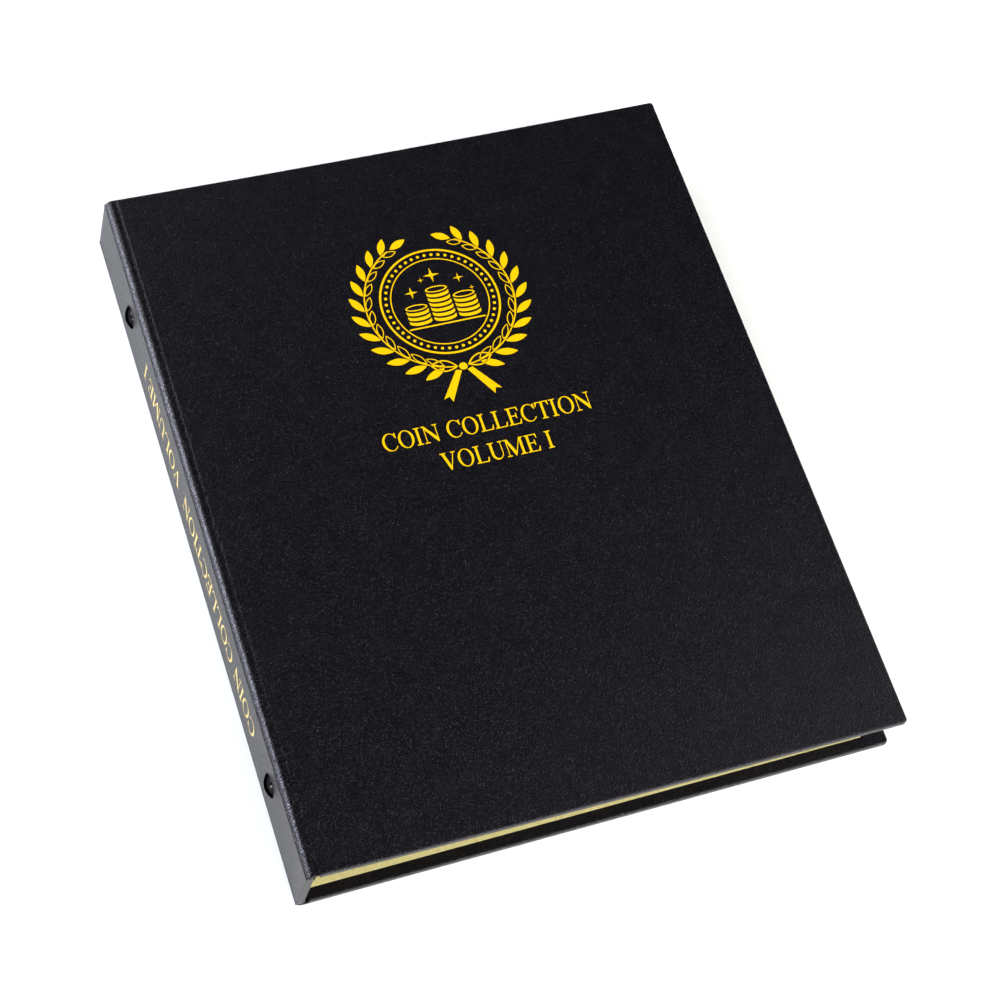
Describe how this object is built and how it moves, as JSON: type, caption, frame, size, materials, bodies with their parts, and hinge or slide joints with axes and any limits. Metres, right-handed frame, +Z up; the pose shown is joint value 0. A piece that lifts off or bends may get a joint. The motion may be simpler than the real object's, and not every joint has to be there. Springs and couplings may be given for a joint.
{
  "type": "coin album",
  "caption": "Ring-bound coin album: two cloth-covered boards and a spine joined by cloth joints, with a lever-operated ring mechanism that holds clear pocket leaves.",
  "frame": {"origin": "middle of the footprint of the closed album, on the surface that it lies on", "axes": "+X from the spine to the fore edge, +Y from the tail to the head, +Z up through the covers"},
  "size_m": [0.2299, 0.28, 0.0292],
  "materials": {
    "leatherette": "black imitation leather with a fine pebble grain, low sheen",
    "greyboard": "raw grey board",
    "lining_paper": "cream speckled lining paper",
    "nickel_plate": "bright nickel plate",
    "blade_steel": "rolled steel",
    "ring_wire": "bright nickel plated wire",
    "lever_steel": "bright nickel plate",
    "lever_pin_steel": "turned steel",
    "rivet_black": "gloss black enamel",
    "rivet_steel": "nickel plated steel",
    "clear_film": "clear welded film",
    "gold_foil": "bright hot-stamped foil",
    "interleaf_card": "cream card"
  },
  "bodies": {
    "back_cover": {"back_board": "greyboard", "back_cover_cloth": "leatherette", "back_lining": "lining_paper", "back_joint_cloth": "leatherette", "back_joint_lining": "lining_paper"},
    "spine": {"spine_board": "greyboard", "spine_cloth": "leatherette", "spine_lining": "lining_paper", "front_joint_cloth": "leatherette", "front_joint_lining": "lining_paper", "ring_plate": "nickel_plate", "head_rivet_cap": "rivet_black", "head_rivet_post": "rivet_steel", "tail_rivet_cap": "rivet_black", "tail_rivet_post": "rivet_steel", "head_lever_pin": "lever_pin_steel", "tail_lever_pin": "lever_pin_steel"},
    "front_cover": {"front_board": "greyboard", "front_cover_cloth": "leatherette", "front_lining": "lining_paper"},
    "back_ring_half": {"back_blade": "blade_steel", "ring_1_back_half": "ring_wire", "ring_2_back_half": "ring_wire", "ring_3_back_half": "ring_wire", "ring_4_back_half": "ring_wire"},
    "front_ring_half": {"front_blade": "blade_steel", "ring_1_front_half": "ring_wire", "ring_2_front_half": "ring_wire", "ring_3_front_half": "ring_wire", "ring_4_front_half": "ring_wire"},
    "head_trigger": {"head_lever": "lever_steel"},
    "tail_trigger": {"tail_lever": "lever_steel"},
    "leaf_1": {"leaf_1_page": "clear_film", "leaf_1_card": "interleaf_card"},
    "leaf_2": {"leaf_2_page": "clear_film", "leaf_2_card": "interleaf_card"},
    "leaf_3": {"leaf_3_page": "clear_film", "leaf_3_card": "interleaf_card"},
    "leaf_4": {"leaf_4_page": "clear_film", "leaf_4_card": "interleaf_card"}
  },
  "joints": [
    {"name": "spine_hinge", "type": "hinge", "parent": "back_cover", "child": "spine", "pos_m": [-0.1135, 0, 0.001], "axis": [0, -1, 0], "range_deg": [0, 95.7], "deforming": ["back_joint_cloth", "back_joint_lining"]},
    {"name": "front_hinge", "type": "hinge", "parent": "spine", "child": "front_cover", "pos_m": [-0.11077, 0, 0.02836], "axis": [0, -1, 0], "range_deg": [0, 86.2], "deforming": ["front_joint_cloth", "front_joint_lining"]},
    {"name": "ring_opening", "type": "hinge", "parent": "spine", "child": "front_ring_half", "pos_m": [-0.10786, 0, 0.02129], "axis": [0, -1, 0], "range_deg": [0, 10]},
    {"name": "ring_opening_back", "type": "hinge", "parent": "spine", "child": "back_ring_half", "pos_m": [-0.10907, 0, 0.00915], "axis": [0, -1, 0], "range_deg": [-10, 0]},
    {"name": "head_lever_swing", "type": "hinge", "parent": "spine", "child": "head_trigger", "pos_m": [-0.10767, 0.1164, 0.01514], "axis": [0.0993, 0, 0.9951], "range_deg": [0, 20]},
    {"name": "tail_lever_swing", "type": "hinge", "parent": "spine", "child": "tail_trigger", "pos_m": [-0.10767, -0.1164, 0.01514], "axis": [-0.0993, 0, -0.9951], "range_deg": [0, 20]},
    {"name": "leaf_1_turn", "type": "hinge", "parent": "spine", "child": "leaf_1", "pos_m": [-0.10071, 0, 0.01445], "axis": [0, -1, 0], "range_deg": [-95.7, 0]},
    {"name": "leaf_2_turn", "type": "hinge", "parent": "spine", "child": "leaf_2", "pos_m": [-0.10071, 0, 0.01445], "axis": [0, -1, 0], "range_deg": [-95.7, 0]},
    {"name": "leaf_3_turn", "type": "hinge", "parent": "spine", "child": "leaf_3", "pos_m": [-0.10071, 0, 0.01445], "axis": [0, -1, 0], "range_deg": [-95.7, 0]},
    {"name": "leaf_4_turn", "type": "hinge", "parent": "spine", "child": "leaf_4", "pos_m": [-0.10071, 0, 0.01445], "axis": [0, -1, 0], "range_deg": [0, 86.2]}
  ],
  "couplings": [
    {"joint": "ring_opening_back", "follows": "ring_opening", "ratio": -1},
    {"joint": "head_lever_swing", "follows": "ring_opening", "ratio": 2},
    {"joint": "tail_lever_swing", "follows": "ring_opening", "ratio": 2},
    {"joint": "leaf_1_turn", "follows": "spine_hinge", "ratio": -1},
    {"joint": "leaf_2_turn", "follows": "spine_hinge", "ratio": -1},
    {"joint": "leaf_3_turn", "follows": "spine_hinge", "ratio": -1},
    {"joint": "leaf_4_turn", "follows": "front_hinge", "ratio": 1}
  ]
}
